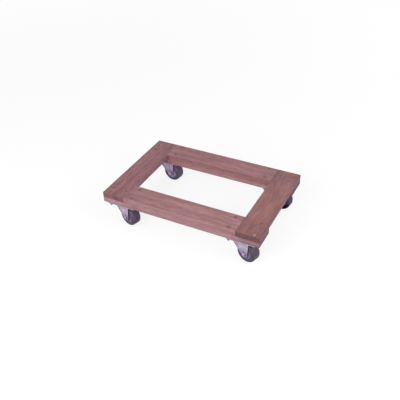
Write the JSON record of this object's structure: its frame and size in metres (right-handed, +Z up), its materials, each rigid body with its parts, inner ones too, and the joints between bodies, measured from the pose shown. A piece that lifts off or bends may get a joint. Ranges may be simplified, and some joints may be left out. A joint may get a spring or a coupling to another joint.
{
  "type": "wooden dolly",
  "caption": "Open rectangular wooden moving dolly: boards lapped flush at the corners, on swivel plate casters with pressed-steel forks and rubber-tyred wheels.",
  "frame": {"origin": "on the floor, under the middle of the deck", "axes": "+X along the rails, the long way of the deck; the front rail is at -Y; +Z up"},
  "size_m": [0.6096, 0.4064, 0.1365],
  "materials": {
    "rail_wood": "planed, clear-finished reddish softwood or light hardwood",
    "end_board_wood": "planed, clear-finished, slightly browner",
    "bolt_steel": "dark, oxidised flat heads",
    "dull_bolt_steel": "dull flat heads",
    "nut_steel": "zinc plated",
    "zinc_plate": "zinc plated pressing",
    "zinc_fork": "bright zinc plated pressing",
    "rivet_steel": "zinc plated",
    "axle_steel": "zinc plated",
    "ball_steel": "polished hardened steel",
    "wheel_core": "moulded, matt",
    "tyre_rubber": "matt dark rubber"
  },
  "bodies": {
    "frame": {"front_rail": "rail_wood", "rear_rail": "rail_wood", "left_end_board": "end_board_wood", "right_end_board": "end_board_wood", "rail_bolts": "bolt_steel", "end_board_bolts": "dull_bolt_steel", "bolt_washers": "nut_steel", "bolt_nuts": "nut_steel", "corner_screws": "dull_bolt_steel", "front_left_top_plate": "zinc_plate", "front_left_kingpin": "rivet_steel", "front_left_lower_race": "zinc_plate", "front_right_top_plate": "zinc_plate", "front_right_kingpin": "rivet_steel", "front_right_lower_race": "zinc_plate", "rear_left_top_plate": "zinc_plate", "rear_left_kingpin": "rivet_steel", "rear_left_lower_race": "zinc_plate", "rear_right_top_plate": "zinc_plate", "rear_right_kingpin": "rivet_steel", "rear_right_lower_race": "zinc_plate"},
    "front_left_caster_fork": {"front_left_fork": "zinc_fork", "front_left_axle_bolt": "axle_steel", "front_left_axle_nut": "axle_steel", "front_left_axle_sleeve": "axle_steel"},
    "front_left_caster_wheel": {"front_left_wheel_hub": "wheel_core", "front_left_tyre": "tyre_rubber"},
    "front_left_ball_set": {"front_left_upper_balls": "ball_steel", "front_left_lower_balls": "ball_steel"},
    "front_right_caster_fork": {"front_right_fork": "zinc_fork", "front_right_axle_bolt": "axle_steel", "front_right_axle_nut": "axle_steel", "front_right_axle_sleeve": "axle_steel"},
    "front_right_caster_wheel": {"front_right_wheel_hub": "wheel_core", "front_right_tyre": "tyre_rubber"},
    "front_right_ball_set": {"front_right_upper_balls": "ball_steel", "front_right_lower_balls": "ball_steel"},
    "rear_left_caster_fork": {"rear_left_fork": "zinc_fork", "rear_left_axle_bolt": "axle_steel", "rear_left_axle_nut": "axle_steel", "rear_left_axle_sleeve": "axle_steel"},
    "rear_left_caster_wheel": {"rear_left_wheel_hub": "wheel_core", "rear_left_tyre": "tyre_rubber"},
    "rear_left_ball_set": {"rear_left_upper_balls": "ball_steel", "rear_left_lower_balls": "ball_steel"},
    "rear_right_caster_fork": {"rear_right_fork": "zinc_fork", "rear_right_axle_bolt": "axle_steel", "rear_right_axle_nut": "axle_steel", "rear_right_axle_sleeve": "axle_steel"},
    "rear_right_caster_wheel": {"rear_right_wheel_hub": "wheel_core", "rear_right_tyre": "tyre_rubber"},
    "rear_right_ball_set": {"rear_right_upper_balls": "ball_steel", "rear_right_lower_balls": "ball_steel"}
  },
  "joints": [
    {"name": "front_left_swivel", "type": "hinge", "parent": "frame", "child": "front_left_caster_fork", "pos_m": [-0.2353, -0.1627, 0.08717], "axis": [0, 0, 1], "continuous": true},
    {"name": "front_left_roll", "type": "hinge", "parent": "front_left_caster_fork", "child": "front_left_caster_wheel", "pos_m": [-0.21723, -0.16857, 0.0381], "axis": [0.309, 0.9511, 0], "continuous": true},
    {"name": "front_left_ball_turn", "type": "hinge", "parent": "frame", "child": "front_left_ball_set", "pos_m": [-0.2353, -0.1627, 0.08717], "axis": [0, 0, 1], "continuous": true},
    {"name": "front_right_swivel", "type": "hinge", "parent": "frame", "child": "front_right_caster_fork", "pos_m": [0.2353, -0.1627, 0.08717], "axis": [0, 0, 1], "continuous": true},
    {"name": "front_right_roll", "type": "hinge", "parent": "front_right_caster_fork", "child": "front_right_caster_wheel", "pos_m": [0.25347, -0.16825, 0.0381], "axis": [0.2924, 0.9563, 0], "continuous": true},
    {"name": "front_right_ball_turn", "type": "hinge", "parent": "frame", "child": "front_right_ball_set", "pos_m": [0.2353, -0.1627, 0.08717], "axis": [0, 0, 1], "continuous": true},
    {"name": "rear_left_swivel", "type": "hinge", "parent": "frame", "child": "rear_left_caster_fork", "pos_m": [-0.2353, 0.1627, 0.08717], "axis": [0, 0, 1], "continuous": true},
    {"name": "rear_left_roll", "type": "hinge", "parent": "rear_left_caster_fork", "child": "rear_left_caster_wheel", "pos_m": [-0.21656, 0.15956, 0.0381], "axis": [0.165, 0.9863, 0], "continuous": true},
    {"name": "rear_left_ball_turn", "type": "hinge", "parent": "frame", "child": "rear_left_ball_set", "pos_m": [-0.2353, 0.1627, 0.08717], "axis": [0, 0, 1], "continuous": true},
    {"name": "rear_right_swivel", "type": "hinge", "parent": "frame", "child": "rear_right_caster_fork", "pos_m": [0.2353, 0.1627, 0.08717], "axis": [0, 0, 1], "continuous": true},
    {"name": "rear_right_roll", "type": "hinge", "parent": "rear_right_caster_fork", "child": "rear_right_caster_wheel", "pos_m": [0.2542, 0.16071, 0.0381], "axis": [0.1045, 0.9945, 0], "continuous": true},
    {"name": "rear_right_ball_turn", "type": "hinge", "parent": "frame", "child": "rear_right_ball_set", "pos_m": [0.2353, 0.1627, 0.08717], "axis": [0, 0, 1], "continuous": true}
  ],
  "couplings": [
    {"joint": "front_left_ball_turn", "follows": "front_left_swivel", "ratio": 0.5},
    {"joint": "front_right_ball_turn", "follows": "front_right_swivel", "ratio": 0.5},
    {"joint": "rear_left_ball_turn", "follows": "rear_left_swivel", "ratio": 0.5},
    {"joint": "rear_right_ball_turn", "follows": "rear_right_swivel", "ratio": 0.5}
  ]
}
